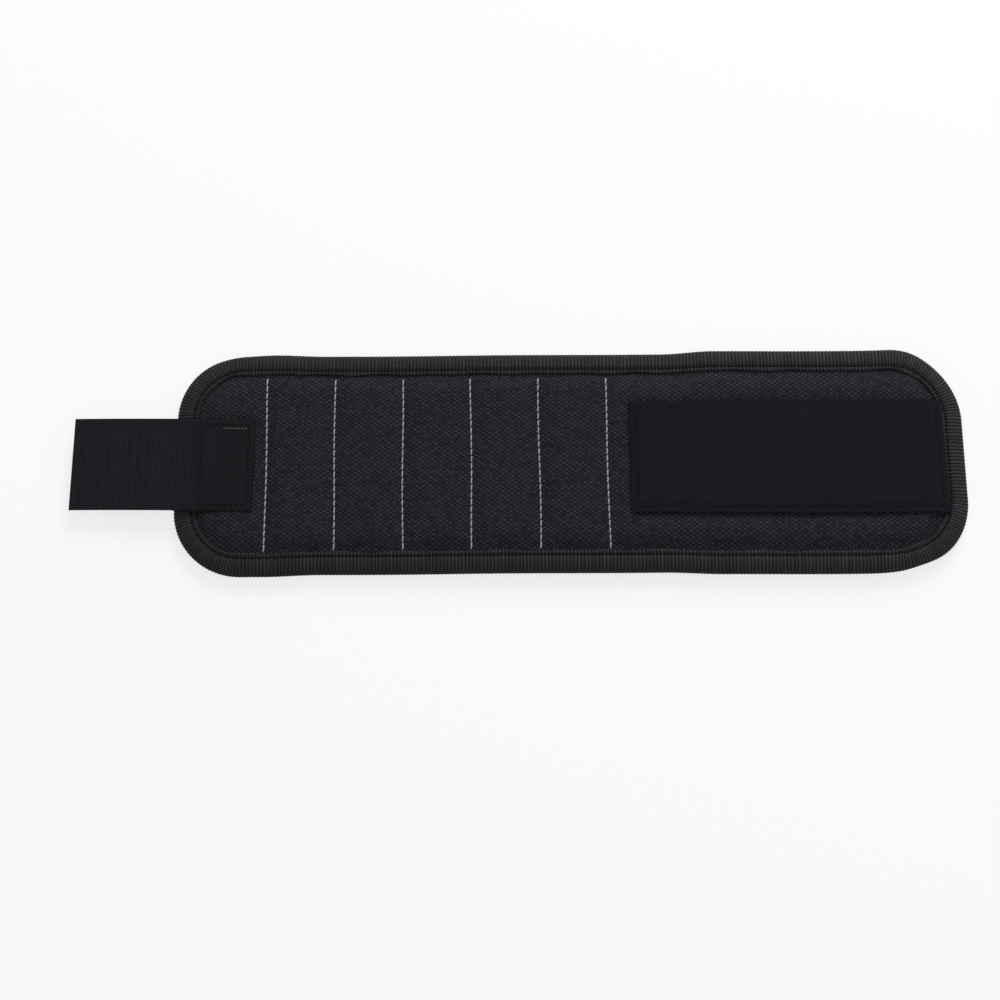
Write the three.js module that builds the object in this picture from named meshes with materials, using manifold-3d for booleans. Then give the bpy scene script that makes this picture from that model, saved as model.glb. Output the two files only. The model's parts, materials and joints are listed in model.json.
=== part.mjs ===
// A magnetic tool wristband laid out flat, front upwards: a quilted fabric band with five rows of
// disc magnets sewn between six lines of stitching, a bound edge, a loop patch and a hook tab.
// Millimetres, X along the band, Y across it, Z up, with the lining on Z = 0.
import * as THREE from 'three';
import { mergeVertices } from 'three/addons/utils/BufferGeometryUtils.js';
import Module from 'manifold-3d';

const wasm = await Module();
wasm.setup();

// Outline of the sewn body, binding included
const bodyLength = 312;
const bodyWidth = 91.2;
const leftCornerRadius = 27;
const rightCornerRadius = 29.5;
const cornerSegments = 8;
const leastCornerRadius = 1;

// Layers through the thickness
const layerGap = 0.2;
const borderThickness = 3.8;
const coverThickness = 0.8;
const shoulderRun = 3;
const shoulderSteps = 2;

// Folded tape round the edge
const bindingThickness = 0.8;
const bindingWidth = 9;
const bindingLift = 0.6;

// Rows of magnets between the lines of stitching
const rowCount = 5;
const rowPitch = 26.9;
const firstLine = 36;
const valleyDepth = 1.2;
const valleyFloor = 1.6;
const valleySlope = 2.9;
const valleySteps = 3;
const stitchPitch = 3;
const stitchWidth = 0.9;
const stitchHeight = 0.5;
const stitchSteps = 3;
const magnetsAcross = 3;
const magnetDiameter = 16;
const magnetThickness = 2.2;
const magnetClearance = 0.3;
const magnetWall = 4;
const magnetSides = 24;

// Folds: each half turns by its own angle when the band is closed round a wrist
const foldGap = 0.4;
const foldRelief = 1;
const lineFoldAngles = [59.7, 46, 33.4, 27.1, 27.5, 37.8];
const wingFoldAngles = [62, 66.5];
const rightEndLength = 72.5;

// Loop patch
const patchStandoff = 9;
const patchEndMargin = 9.5;
const patchWidth = 45;
const patchThickness = 1.4;

// Hook tab
const tabWidth = 37.2;
const tabReach = 41.5;
const tabSewnLength = 30;
const tabThickness = 1.2;
const tabTipHeight = 4.4;
const tabDroopSteps = 5;
const tabDroopPower = 1.4;
const tabGap = 0.3;

// Heights and insets that follow from the sizes above
const halfWidth = bodyWidth / 2;
const blankInset = bindingThickness + layerGap;
const shoulderInset = bindingWidth + layerGap;
const crownInset = shoulderInset + shoulderRun;
const borderBottom = bindingLift + bindingThickness + layerGap;
const borderTop = borderBottom + borderThickness;
const coverTop = borderTop + borderBottom;
const bindingTop = borderTop + layerGap + bindingThickness;
const valleyTop = coverTop - valleyDepth;
const liningTop = coverTop - coverThickness - layerGap;
const beyond = bodyWidth;

const materials = {
  cover: new THREE.MeshStandardMaterial({ color: 0x27272b, roughness: 0.85, metalness: 0 }),
  lining: new THREE.MeshStandardMaterial({ color: 0x1d1d20, roughness: 0.95, metalness: 0 }),
  binding: new THREE.MeshStandardMaterial({ color: 0x2f2f30, roughness: 0.8, metalness: 0 }),
  loop: new THREE.MeshStandardMaterial({ color: 0x1b1a1f, roughness: 1, metalness: 0 }),
  hook: new THREE.MeshStandardMaterial({ color: 0x1f1f24, roughness: 0.75, metalness: 0 }),
  thread: new THREE.MeshStandardMaterial({ color: 0xcfcabd, roughness: 0.7, metalness: 0 }),
  magnet: new THREE.MeshStandardMaterial({ color: 0xb9bbbe, roughness: 0.3, metalness: 1 }),
};

// Helpers between three.js geometry and closed solids

function weld(geometry) {
  geometry.deleteAttribute('normal');
  geometry.deleteAttribute('uv');
  return mergeVertices(geometry, 1e-4);
}

function solid(geometry) {
  const welded = weld(geometry);
  return new wasm.Manifold(new wasm.Mesh({
    numProp: 3,
    vertProperties: new Float32Array(welded.attributes.position.array),
    triVerts: new Uint32Array(welded.index.array),
  }));
}

function geometryOf(body) {
  const mesh = body.getMesh();
  const geometry = new THREE.BufferGeometry();
  geometry.setAttribute('position', new THREE.BufferAttribute(mesh.vertProperties, 3));
  geometry.setIndex(new THREE.BufferAttribute(mesh.triVerts, 1));
  geometry.computeVertexNormals();
  return geometry;
}

function addMesh(group, name, geometry, material) {
  const mesh = new THREE.Mesh(geometry, material.clone());
  mesh.name = name;
  group.add(mesh);
  return mesh;
}

// Outline of the band, drawn in from its outer edge by an inset
function outline(inset) {
  const left = inset;
  const right = bodyLength - inset;
  const top = halfWidth - inset;
  const leftRadius = Math.max(leftCornerRadius - inset, leastCornerRadius);
  const rightRadius = Math.max(rightCornerRadius - inset, leastCornerRadius);
  const shape = new THREE.Shape();
  shape.moveTo(left + leftRadius, -top);
  shape.absarc(right - rightRadius, rightRadius - top, rightRadius, -Math.PI / 2, 0, false);
  shape.absarc(right - rightRadius, top - rightRadius, rightRadius, 0, Math.PI / 2, false);
  shape.absarc(left + leftRadius, top - leftRadius, leftRadius, Math.PI / 2, Math.PI, false);
  shape.absarc(left + leftRadius, leftRadius - top, leftRadius, Math.PI, 1.5 * Math.PI, false);
  return shape;
}

function plate(inset, low, high) {
  const geometry = new THREE.ExtrudeGeometry(outline(inset), {
    depth: high - low,
    bevelEnabled: false,
    curveSegments: cornerSegments,
  });
  return solid(geometry.translate(0, 0, low));
}

// A profile of [x, z] points carried straight across the band
function acrossGeometry(points, width) {
  const shape = new THREE.Shape(points.map(([x, z]) => new THREE.Vector2(x, z)));
  const geometry = new THREE.ExtrudeGeometry(shape, { depth: width, bevelEnabled: false });
  return geometry.rotateX(Math.PI / 2).translate(0, width / 2, 0);
}

function across(points, width) {
  return solid(acrossGeometry(points, width));
}

function smooth(share) {
  return share * share * (3 - 2 * share);
}

// Folds from the left end to the right: one beside each line of stitching, and two in the plain wing
const stitchStandoff = (foldGap + stitchWidth) / 2 + layerGap / 2;
const stitchLines = Array.from({ length: rowCount + 1 }, (_, k) => firstLine + k * rowPitch);
const lineFolds = stitchLines.map((x, k) => ({
  x: x - stitchStandoff,
  z: valleyTop - coverThickness / 2,
  angle: lineFoldAngles[Math.min(k, lineFoldAngles.length - 1)],
}));
const lastLineFold = lineFolds[rowCount].x;
const rightEndStart = bodyLength - rightEndLength;
const wingFolds = wingFoldAngles.map((angle, k) => ({
  x: lastLineFold + (rightEndStart - lastLineFold) * (k + 1) / wingFoldAngles.length,
  z: coverTop - coverThickness / 2,
  angle,
}));
const folds = [...lineFolds, ...wingFolds];

const rowNames = Array.from({ length: rowCount }, (_, k) => `row_${k + 1}`);
const wingNames = wingFoldAngles.map((_, k) => `wing_${k + 1}`);
const segmentNames = ['left_end', ...rowNames, ...wingNames, 'right_end'];

// Each segment ends upright above its fold axes, and leans back below them by half the fold
function foldFace(fold, side) {
  const lean = Math.tan(THREE.MathUtils.degToRad(fold.angle / 2 + foldRelief));
  const upright = fold.x + side * foldGap / 2;
  return [
    [upright, beyond],
    [upright, fold.z],
    [upright + side * lean * (fold.z + borderBottom), -borderBottom],
  ];
}

function segmentBlock(index) {
  const leftFace = index === 0
    ? [[-tabReach, beyond], [-tabReach, -borderBottom]]
    : foldFace(folds[index - 1], 1);
  const rightFace = index === folds.length
    ? [[bodyLength + tabReach, beyond], [bodyLength + tabReach, -borderBottom]]
    : foldFace(folds[index], -1);
  return across([...leftFace, ...rightFace.reverse()], bodyWidth + beyond);
}

const segments = segmentNames.map((name, index) => {
  const group = new THREE.Group();
  return { name, group, block: segmentBlock(index) };
});

// The quilted blank: a thin border, a crowned middle and a rounded valley along each line of stitching
function quiltedBlank() {
  const crown = new THREE.ExtrudeGeometry(outline(crownInset), {
    depth: borderThickness,
    bevelEnabled: true,
    bevelThickness: borderBottom,
    bevelSize: shoulderRun,
    bevelSegments: shoulderSteps,
    curveSegments: cornerSegments,
  });
  let blank = plate(blankInset, borderBottom, borderTop).add(solid(crown.translate(0, 0, borderBottom)));
  for (const fold of lineFolds) {
    blank = blank.subtract(valley(fold.x));
  }
  return blank;
}

function valley(x) {
  const half = valleyFloor + valleySlope;
  const side = Array.from({ length: valleySteps + 1 }, (_, k) => {
    const share = k / valleySteps;
    return [valleyFloor + valleySlope * share, valleyTop + valleyDepth * smooth(share)];
  });
  const points = [
    ...side.map(([dx, z]) => [x + dx, z]),
    [x + half, coverTop + valleyDepth],
    [x - half, coverTop + valleyDepth],
    ...side.reverse().map(([dx, z]) => [x - dx, z]),
  ];
  return across(points, bodyWidth - 2 * shoulderInset);
}

const blank = quiltedBlank();
const cover = blank.subtract(blank.translate([0, 0, -coverThickness]));
const lining = blank.intersect(blank.translate([0, 0, -coverThickness - layerGap]));

for (const { name, group, block } of segments) {
  addMesh(group, `front_cover_${name}`, geometryOf(cover.intersect(block)), materials.cover);
}

// Disc magnets, each in a round seat sunk into the foam of its row
const seatRadius = magnetDiameter / 2 + magnetClearance;
const magnetTop = liningTop - magnetClearance;
const magnetMiddle = magnetTop - magnetThickness / 2;
const magnetSpacing = 2 * seatRadius + magnetWall;
const placeNames = ['lower', 'middle', 'upper'];

function placeName(index) {
  return placeNames[index] ?? `place_${index + 1}`;
}

function magnetPlaces(row) {
  const x = (lineFolds[row].x + lineFolds[row + 1].x) / 2;
  return Array.from({ length: magnetsAcross }, (_, k) => [x, (k - (magnetsAcross - 1) / 2) * magnetSpacing]);
}

function seat([x, y]) {
  const floor = magnetTop - magnetThickness - magnetClearance;
  const height = coverTop - floor;
  const geometry = new THREE.CylinderGeometry(seatRadius, seatRadius, height, magnetSides);
  return solid(geometry.rotateX(Math.PI / 2).translate(x, y, floor + height / 2));
}

segments.forEach(({ name, group, block }) => {
  let pad = lining.intersect(block);
  const row = rowNames.indexOf(name);
  if (row >= 0) {
    magnetPlaces(row).forEach(([x, y], k) => {
      pad = pad.subtract(seat([x, y]));
      const disc = new THREE.CylinderGeometry(magnetDiameter / 2, magnetDiameter / 2, magnetThickness, magnetSides);
      const magnet = addMesh(group, `magnet_${name}_${placeName(k)}`, weld(disc), materials.magnet);
      magnet.position.set(x, y, magnetMiddle);
      magnet.rotation.x = Math.PI / 2;
    });
  }
  addMesh(group, `foam_lining_${name}`, geometryOf(pad), materials.lining);
});

// Binding tape folded over the border: whole round each end, an upper and a lower strip between
const bindingRing = plate(0, bindingLift, bindingTop)
  .subtract(plate(bindingThickness, borderBottom - layerGap, borderTop + layerGap))
  .subtract(plate(bindingWidth, -borderBottom, coverTop + borderBottom));

segments.forEach(({ name, group, block }, index) => {
  const tape = bindingRing.intersect(block);
  const atAnEnd = index === 0 || index === segments.length - 1;
  if (atAnEnd) {
    addMesh(group, `edge_binding_${name}`, geometryOf(tape), materials.binding);
    return;
  }
  const strips = tape.decompose();
  for (const strip of strips) {
    const bounds = strip.boundingBox();
    const place = bounds.min[1] + bounds.max[1] > 0 ? 'upper' : 'lower';
    addMesh(group, `edge_binding_${place}_${name}`, geometryOf(strip), materials.binding);
  }
});

// Lines of stitching that close the rows: a thread with one hump for every stitch
function stitchGeometry() {
  const drop = Math.max(coverTop - valleyDepth - borderTop, 0);
  const shoulderShare = Math.min(drop / borderBottom, 1);
  const half = halfWidth - shoulderInset - shoulderRun * shoulderShare - layerGap;
  const count = Math.round(2 * half / stitchPitch);
  const step = 2 * half / (count * stitchSteps);
  const top = Array.from({ length: count * stitchSteps + 1 }, (_, k) => {
    const share = (k % stitchSteps) / stitchSteps;
    return new THREE.Vector2(-half + k * step, stitchHeight * (1 + Math.sin(Math.PI * share)) / 2);
  });
  const shape = new THREE.Shape([new THREE.Vector2(half, 0), ...top.reverse(), new THREE.Vector2(-half, 0)]);
  const thread = new THREE.ExtrudeGeometry(shape, { depth: stitchWidth, bevelEnabled: false });
  thread.rotateX(Math.PI / 2).rotateZ(Math.PI / 2);
  return weld(thread.translate(-stitchWidth / 2, 0, 0));
}

stitchLines.forEach((x, k) => {
  const { group } = segments[k + 1];
  const thread = addMesh(group, `stitch_line_${k + 1}`, stitchGeometry(), materials.thread);
  thread.position.set(x, 0, valleyTop + layerGap);
});

// Loop patch on the wing and the right end
const patchStart = stitchLines[rowCount] + patchStandoff;
const patchEnd = bodyLength - patchEndMargin;
const patchLow = coverTop + layerGap;
const patchHigh = patchLow + patchThickness;
const patch = across(
  [[patchStart, patchLow], [patchEnd, patchLow], [patchEnd, patchHigh], [patchStart, patchHigh]],
  patchWidth,
);

segments.slice(rowCount + 1).forEach(({ name, group, block }) => {
  addMesh(group, `loop_patch_${name}`, geometryOf(patch.intersect(block)), materials.loop);
});

// Hook tab: one tape, sewn down over the left end, whose free length droops a little
const tabOnCover = coverTop + layerGap;
const tabOnBinding = bindingTop + layerGap;

function tape(lowerLine) {
  const upperLine = lowerLine.map(([x, z]) => [x, z + tabThickness]).reverse();
  return weld(acrossGeometry([...lowerLine, ...upperLine], tabWidth));
}

const sewnLine = [
  [tabGap / 2, tabOnBinding],
  [bindingWidth, tabOnBinding],
  [crownInset, Math.max(tabOnCover, tabOnBinding)],
  [tabSewnLength, Math.max(tabOnCover, tabOnBinding)],
];
const freeLine = Array.from({ length: tabDroopSteps + 1 }, (_, k) => {
  const share = k / tabDroopSteps;
  const droop = (tabOnBinding - tabTipHeight) * (1 - share) ** tabDroopPower;
  return [-tabReach + (tabReach - tabGap / 2) * share, tabOnBinding - droop];
});

const tabGroup = new THREE.Group();
addMesh(segments[0].group, 'hook_tab_sewn_end', tape(sewnLine), materials.hook);
addMesh(tabGroup, 'hook_tab_free_end', tape(freeLine), materials.hook);

// The whole band, centred on its length
const wristband = new THREE.Group();
wristband.add(tabGroup, ...segments.map(({ group }) => group));
wristband.position.x = (tabReach - bodyLength) / 2;

export default wristband;
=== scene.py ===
import json
import math
import bpy
import numpy as np
from mathutils import Matrix, Vector

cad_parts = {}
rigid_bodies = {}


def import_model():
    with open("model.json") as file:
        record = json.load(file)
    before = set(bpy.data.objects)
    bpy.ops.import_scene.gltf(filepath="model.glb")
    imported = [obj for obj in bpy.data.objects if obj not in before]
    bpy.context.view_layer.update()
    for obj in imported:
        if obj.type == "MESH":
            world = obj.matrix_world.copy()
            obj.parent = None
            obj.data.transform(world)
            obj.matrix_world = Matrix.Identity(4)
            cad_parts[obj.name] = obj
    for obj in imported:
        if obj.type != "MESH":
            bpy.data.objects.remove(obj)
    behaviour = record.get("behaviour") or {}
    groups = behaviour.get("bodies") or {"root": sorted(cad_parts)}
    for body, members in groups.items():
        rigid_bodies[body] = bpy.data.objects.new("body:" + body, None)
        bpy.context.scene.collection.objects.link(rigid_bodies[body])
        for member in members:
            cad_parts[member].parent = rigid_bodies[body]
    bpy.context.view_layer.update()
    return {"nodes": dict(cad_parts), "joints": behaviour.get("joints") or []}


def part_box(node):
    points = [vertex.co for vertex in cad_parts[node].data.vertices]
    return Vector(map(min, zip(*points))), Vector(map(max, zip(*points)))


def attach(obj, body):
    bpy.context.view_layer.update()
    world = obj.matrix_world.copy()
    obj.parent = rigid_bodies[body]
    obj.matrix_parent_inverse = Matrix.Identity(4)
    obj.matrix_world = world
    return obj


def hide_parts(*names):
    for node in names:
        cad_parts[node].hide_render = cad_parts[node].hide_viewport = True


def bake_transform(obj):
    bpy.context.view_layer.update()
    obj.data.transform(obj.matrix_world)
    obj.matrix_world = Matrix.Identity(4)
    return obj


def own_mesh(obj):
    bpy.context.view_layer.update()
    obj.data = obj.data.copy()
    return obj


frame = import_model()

mm = 0.001
uvPerMetre = 10  # one UV unit is 100 mm of cloth
fullTurn = 2 * math.pi
creaseAngle = {"cloth": 40, "tape": 50, "thread": 60, "hook": 40}  # sharper edges than these stay sharp

segments = ["left_end", "row_1", "row_2", "row_3", "row_4", "row_5", "wing_1", "wing_2", "right_end"]
lastSpan = len(segments)  # span 0 of a layer is the left end, 1 to 8 cross the folds, 9 is the right end
hinges = {(j["child"], j["parent"]): Vector(j["pos_m"]) for j in frame["joints"]}
folds = [hinges[pair].x for pair in zip(segments, segments[1:])]
cuts = [(a + b) / 2 for a, b in zip(folds, folds[1:])]  # layers are parted midway between folds
cuts = [2 * folds[0] - cuts[0]] + cuts + [2 * folds[-1] - cuts[-1]]

band = {
    "left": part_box("edge_binding_left_end")[0].x,
    "right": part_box("edge_binding_right_end")[1].x,
    "half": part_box("edge_binding_left_end")[1].y,
    "leftRadius": 27 * mm,
    "rightRadius": 29.5 * mm,
    "waist": 0.0155,  # share that the rows draw the edges in
    "waistRun": 22 * mm,
    "bulge": 0.6 * mm,  # the upper edge swells beside the patch
    "wobble": [(0.12 * mm, 31, 0.7), (0.072 * mm, 74, 2.1)],  # size, rate and start of two slow waves
}
band["corners"] = [  # place, side, push and reach of the uneven corners
    (band["left"] + 21 * mm, 1, -0.9 * mm, 12 * mm),
    (band["right"] - 17 * mm, 1, 0.9 * mm, 10 * mm),
    (band["right"] - 19 * mm, -1, 1.9 * mm, 11 * mm),
]


def middleOf(name):
    return [(a + b) / 2 for a, b in zip(*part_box(name))]


rowLines = [middleOf("stitch_line_%d" % k)[0] for k in range(1, 7)]


def clearSelection():
    if bpy.context.object and bpy.context.object.mode != "OBJECT":
        bpy.ops.object.mode_set(mode="OBJECT")
    bpy.ops.object.select_all(action="DESELECT")


def pick(piece):
    clearSelection()
    piece.select_set(True)
    bpy.context.view_layer.objects.active = piece


def editAll(piece):
    pick(piece)
    bpy.ops.object.mode_set(mode="EDIT")
    bpy.ops.mesh.select_all(action="SELECT")


def faceOutward(piece):
    editAll(piece)
    bpy.ops.mesh.normals_make_consistent(inside=False)
    bpy.ops.object.mode_set(mode="OBJECT")


def nameIt(piece, name):
    piece.name = piece.data.name = name
    return piece


def pointsOf(piece):
    co = np.zeros(len(piece.data.vertices) * 3)
    piece.data.vertices.foreach_get("co", co)
    return co.reshape(-1, 3)


def setPoints(piece, co):
    piece.data.vertices.foreach_set("co", np.asarray(co, dtype=np.float32).ravel())
    piece.data.update()


def setUv(piece, flat):
    layer = piece.data.uv_layers.active or piece.data.uv_layers.new(name="cloth")
    layer.name = "cloth"
    corner = np.zeros(len(piece.data.loops), dtype=np.int32)
    piece.data.loops.foreach_get("vertex_index", corner)
    layer.data.foreach_set("uv", (np.asarray(flat)[corner] * uvPerMetre).astype(np.float32).ravel())


def gridPiece(name, across, along):
    clearSelection()
    bpy.ops.mesh.primitive_grid_add(x_subdivisions=across, y_subdivisions=along, size=1)
    piece = nameIt(bpy.context.object, name)
    co = pointsOf(piece)
    return piece, co[:, 0] + 0.5, co[:, 1] + 0.5  # shares along and across the grid


def meshPiece(name, co, faces):
    mesh = bpy.data.meshes.new(name)
    mesh.from_pydata([tuple(p) for p in co], [], faces)
    piece = bpy.data.objects.new(name, mesh)
    bpy.context.scene.collection.objects.link(piece)
    return piece


def repeatFaces(faces, points, copies):
    return [[v + k * points for v in face] for k in range(copies) for face in faces]


def applyModifier(piece, kind, **settings):
    pick(piece)
    modifier = piece.modifiers.new(kind.title(), kind)
    for key, value in settings.items():
        setattr(modifier, key, value)
    bpy.ops.object.modifier_apply(modifier=modifier.name)


def dress(piece, material, kind):
    piece.data.materials.append(material)
    pick(piece)
    bpy.ops.object.shade_smooth_by_angle(angle=math.radians(creaseAngle[kind]))


def ease(t):
    t = np.clip(t, 0, 1)
    return t * t * (3 - 2 * t)


def halfAt(x, inset):
    reach = np.full_like(x, band["half"] - inset)
    ends = ((band["left"], 1, band["leftRadius"]), (band["right"], -1, band["rightRadius"]))
    for edge, side, radius in ends:
        r = radius - inset
        bend = np.clip(r + inset - (x - edge) * side, 0, r)
        reach = np.minimum(reach, band["half"] - inset - r + np.sqrt(r * r - bend * bend))
    return reach


def edgeDepth(x, y):
    radius = np.where(x < 0, band["leftRadius"], band["rightRadius"])
    dx = np.maximum(np.maximum(band["left"] + radius - x, x - band["right"] + radius), 0)
    dy = np.maximum(np.abs(y) - band["half"] + radius, 0)
    side = np.minimum(np.minimum(x - band["left"], band["right"] - x), band["half"] - np.abs(y))
    return np.where((dx > 0) & (dy > 0), radius - np.hypot(dx, dy), side)


def settle(co):  # from the plain outline to the sewn one
    co = np.array(co, dtype=float)
    x = co[:, 0]
    run = band["waistRun"]
    inRows = ease((x - rowLines[0]) / run) * ease((rowLines[-1] + 2 * run - x) / run)
    byPatch = ease((x - rowLines[-1] - run) / run) * ease((band["right"] - x) / run)
    co[:, 1] *= 1 - band["waist"] * inRows
    co[:, 1] += band["bulge"] * byPatch * np.clip(co[:, 1] / band["half"], 0, 1) ** 2
    for place, side, push, reach in band["corners"]:
        near = np.exp(-((x - place) / reach) ** 2)
        co[:, 1] += push * near * np.clip(side * co[:, 1] / band["half"], 0, 1) ** 3
    for size, rate, start in band["wobble"]:
        co[:, 1] += size * np.sin(rate * x + start)
    return co


def segmentOf(k):
    return segments[min(k, lastSpan - 1)]


def hang(piece, k):
    if k == 0:
        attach(piece, "left_end")
    elif k == lastSpan:
        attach(piece, "right_end")
    else:
        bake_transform(piece)


def cutSpan(layer, name, fromX, toX):
    pick(layer)
    bpy.ops.object.duplicate()
    piece = nameIt(bpy.context.object, name)
    bpy.ops.object.mode_set(mode="EDIT")
    for x, below in ((fromX, True), (toX, False)):
        if x is not None:
            bpy.ops.mesh.select_all(action="SELECT")
            bpy.ops.mesh.bisect(plane_co=(x, 0, 0), plane_no=(1, 0, 0), use_fill=True,
                                clear_inner=below, clear_outer=not below, threshold=1e-6)
    bpy.ops.object.mode_set(mode="OBJECT")
    return piece


def cutLayer(layer, base, material, kind, nodes, spans=range(lastSpan + 1)):
    made = {}
    for k in spans:
        name = base + ("_left_end" if k == 0 else "_right_end" if k == lastSpan else "_fold_%d" % k)
        piece = cutSpan(layer, name, None if k == 0 else cuts[k - 1], None if k == lastSpan else cuts[k])
        dress(piece, material, kind)
        hang(piece, k)
        replaced = nodes(segmentOf(k))
        if replaced:
            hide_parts(*replaced)
        made[k] = piece
    bpy.data.objects.remove(layer)
    return made


# node tree helpers

def newMaterial(name):
    material = bpy.data.materials.new(name)
    material.use_nodes = True
    tree = material.node_tree
    return material, tree, tree.nodes["Principled BSDF"]


def newGroup(name, place, values, outputs):
    tree = bpy.data.node_groups.new(name, "ShaderNodeTree")
    tree.interface.new_socket(name=place, in_out="INPUT", socket_type="NodeSocketVector")
    for label, value in values.items():
        socket = tree.interface.new_socket(name=label, in_out="INPUT", socket_type="NodeSocketFloat")
        socket.default_value = value
    for label in outputs:
        tree.interface.new_socket(name=label, in_out="OUTPUT", socket_type="NodeSocketFloat")
    return tree, tree.nodes.new("NodeGroupInput"), tree.nodes.new("NodeGroupOutput")


def addNode(tree, kind, **settings):
    node = tree.nodes.new(kind)
    for key, value in settings.items():
        setattr(node, key, value)
    return node


def feed(tree, sockets, values):  # each value is another node's output or a number
    for socket, value in zip(sockets, values):
        if hasattr(value, "is_output"):
            tree.links.new(value, socket)
        else:
            socket.default_value = value


def placeGroup(tree, group, **values):
    node = addNode(tree, "ShaderNodeGroup", node_tree=group)
    feed(tree, [node.inputs[key] for key in values], values.values())
    return node.outputs


def calc(tree, operation, *values):
    node = addNode(tree, "ShaderNodeMath", operation=operation)
    feed(tree, node.inputs, values)
    return node.outputs[0]


def product(tree, first, *others):
    for value in others:
        first = calc(tree, "MULTIPLY", first, value)
    return first


def spread(tree, value, scale, base):
    return calc(tree, "MULTIPLY_ADD", value, scale, base)


def soften(tree, value, share):  # 1 stays 1, and 0 is raised by the rest of the share
    return spread(tree, value, share, 1 - share)


def ripple(tree, turns):
    return soften(tree, calc(tree, "COSINE", calc(tree, "MULTIPLY", turns, fullTurn)), 0.5)


def mapRange(tree, value, low, high, toLow=0, toHigh=1, kind="SMOOTHSTEP"):
    node = addNode(tree, "ShaderNodeMapRange", interpolation_type=kind)
    feed(tree, node.inputs, (value, low, high, toLow, toHigh))
    return node.outputs[0]


def mixValues(tree, share, first, second):
    mix = addNode(tree, "ShaderNodeMix", data_type="FLOAT")
    feed(tree, (mix.inputs[0], mix.inputs[2], mix.inputs[3]), (share, first, second))
    return mix.outputs[0]


def splitPlace(tree, place):
    split = addNode(tree, "ShaderNodeSeparateXYZ")
    tree.links.new(place, split.inputs[0])
    return split.outputs[0], split.outputs[1]


def noiseAt(tree, place, scale, detail, dimensions="3D"):
    noise = addNode(tree, "ShaderNodeTexNoise", noise_dimensions=dimensions)
    feed(tree, [noise.inputs[key] for key in ("Vector", "Scale", "Detail")], (place, scale, detail))
    return noise.outputs["Fac"]


def cellsAt(tree, place, scale, randomness):
    cells = addNode(tree, "ShaderNodeTexVoronoi")
    feed(tree, [cells.inputs[key] for key in ("Vector", "Scale", "Randomness")], (place, scale, randomness))
    return cells.outputs["Distance"]


def clothPlace(tree):
    return addNode(tree, "ShaderNodeUVMap", uv_map="cloth").outputs[0]


def objectPlace(tree):
    return addNode(tree, "ShaderNodeTexCoord").outputs["Object"]


def paint(tree, shader, shade, dark, light):
    mix = addNode(tree, "ShaderNodeMix", data_type="RGBA")
    tree.links.new(shade, mix.inputs[0])
    mix.inputs[6].default_value = (*dark, 1)  # the node's colour sockets follow its number and vector ones
    mix.inputs[7].default_value = (*light, 1)
    tree.links.new(mix.outputs[2], shader.inputs["Base Color"])


def setFinish(shader, rough, gloss):
    shader.inputs["Roughness"].default_value = rough
    shader.inputs["Specular IOR Level"].default_value = gloss


def bumpTo(tree, shader, height, strength, distance):
    bump = addNode(tree, "ShaderNodeBump")
    bump.inputs["Strength"].default_value = strength
    bump.inputs["Distance"].default_value = distance
    tree.links.new(height, bump.inputs["Height"])
    tree.links.new(bump.outputs[0], shader.inputs["Normal"])


# effects that several materials share

def buildWeave():
    form = {
        "dive": (-0.7, 0.2),  # where one yarn goes under the other
        "warpRound": 0.9,
        "warpRise": 0.5,
        "warpSag": 0.15,
        "weftRound": 0.3,
        "weftSag": 0.75,
    }
    sizes = {"Across": 90.0, "Along": 110.0}
    tree, start, end = newGroup("plainWeave", "Cloth", sizes, ["Height", "Yarn", "Over"])
    placeX, placeY = splitPlace(tree, start.outputs["Cloth"])
    x = calc(tree, "MULTIPLY", placeX, start.outputs["Across"])
    y = calc(tree, "MULTIPLY", placeY, start.outputs["Along"])
    turnX, turnY = (calc(tree, "SINE", calc(tree, "MULTIPLY", v, math.pi)) for v in (x, y))
    sx, sy = (calc(tree, "ABSOLUTE", turn) for turn in (turnX, turnY))
    over = mapRange(tree, calc(tree, "MULTIPLY", turnX, turnY), *form["dive"])  # 1 where the warp is on top
    ridge = soften(tree, calc(tree, "POWER", sx, form["warpRound"]), form["warpRise"])
    warp = calc(tree, "MULTIPLY", ridge, soften(tree, sy, form["warpSag"]))
    broad = calc(tree, "POWER", sy, form["weftRound"])
    weft = calc(tree, "MULTIPLY", broad, soften(tree, sx, form["weftSag"]))
    cell = addNode(tree, "ShaderNodeCombineXYZ")
    feed(tree, cell.inputs, [calc(tree, "FLOOR", v) for v in (x, y)])
    noise = addNode(tree, "ShaderNodeTexWhiteNoise", noise_dimensions="2D")
    tree.links.new(cell.outputs[0], noise.inputs["Vector"])
    tree.links.new(mixValues(tree, over, weft, warp), end.inputs["Height"])
    tree.links.new(noise.outputs["Value"], end.inputs["Yarn"])
    tree.links.new(over, end.inputs["Over"])
    return tree


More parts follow.
